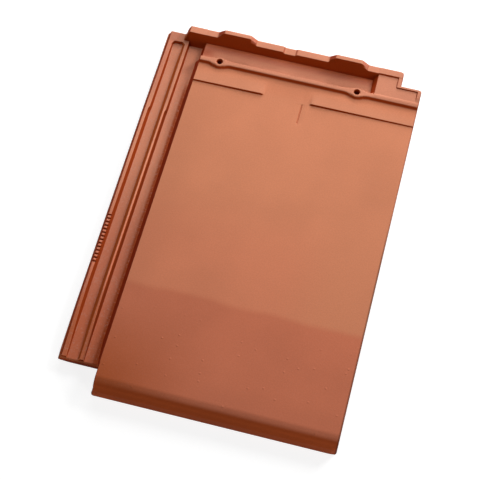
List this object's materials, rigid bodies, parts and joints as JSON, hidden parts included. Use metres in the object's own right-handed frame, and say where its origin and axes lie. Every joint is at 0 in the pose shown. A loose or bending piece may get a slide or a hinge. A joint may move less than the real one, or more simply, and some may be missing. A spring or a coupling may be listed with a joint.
{
  "type": "interlocking clay roof tile",
  "caption": "Flat interlocking clay roof tile with a ribbed side lock, a head channel behind a raised rim, nail holes, a rounded nose and hanging nibs.",
  "frame": {"origin": "on the floor plane, below the middle of the tile's outline, with the nibs and the nose standing on the floor", "axes": "+Z out of the weather face, +Y from the nose to the head, +X to the right edge seen from above, with the side lock at -X"},
  "size_m": [0.298, 0.4556, 0.035],
  "materials": {
    "clay": "fired clay with a thin matt natural-red engobe"
  },
  "bodies": {
    "root": {"roof_tile": "clay"}
  },
  "joints": []
}
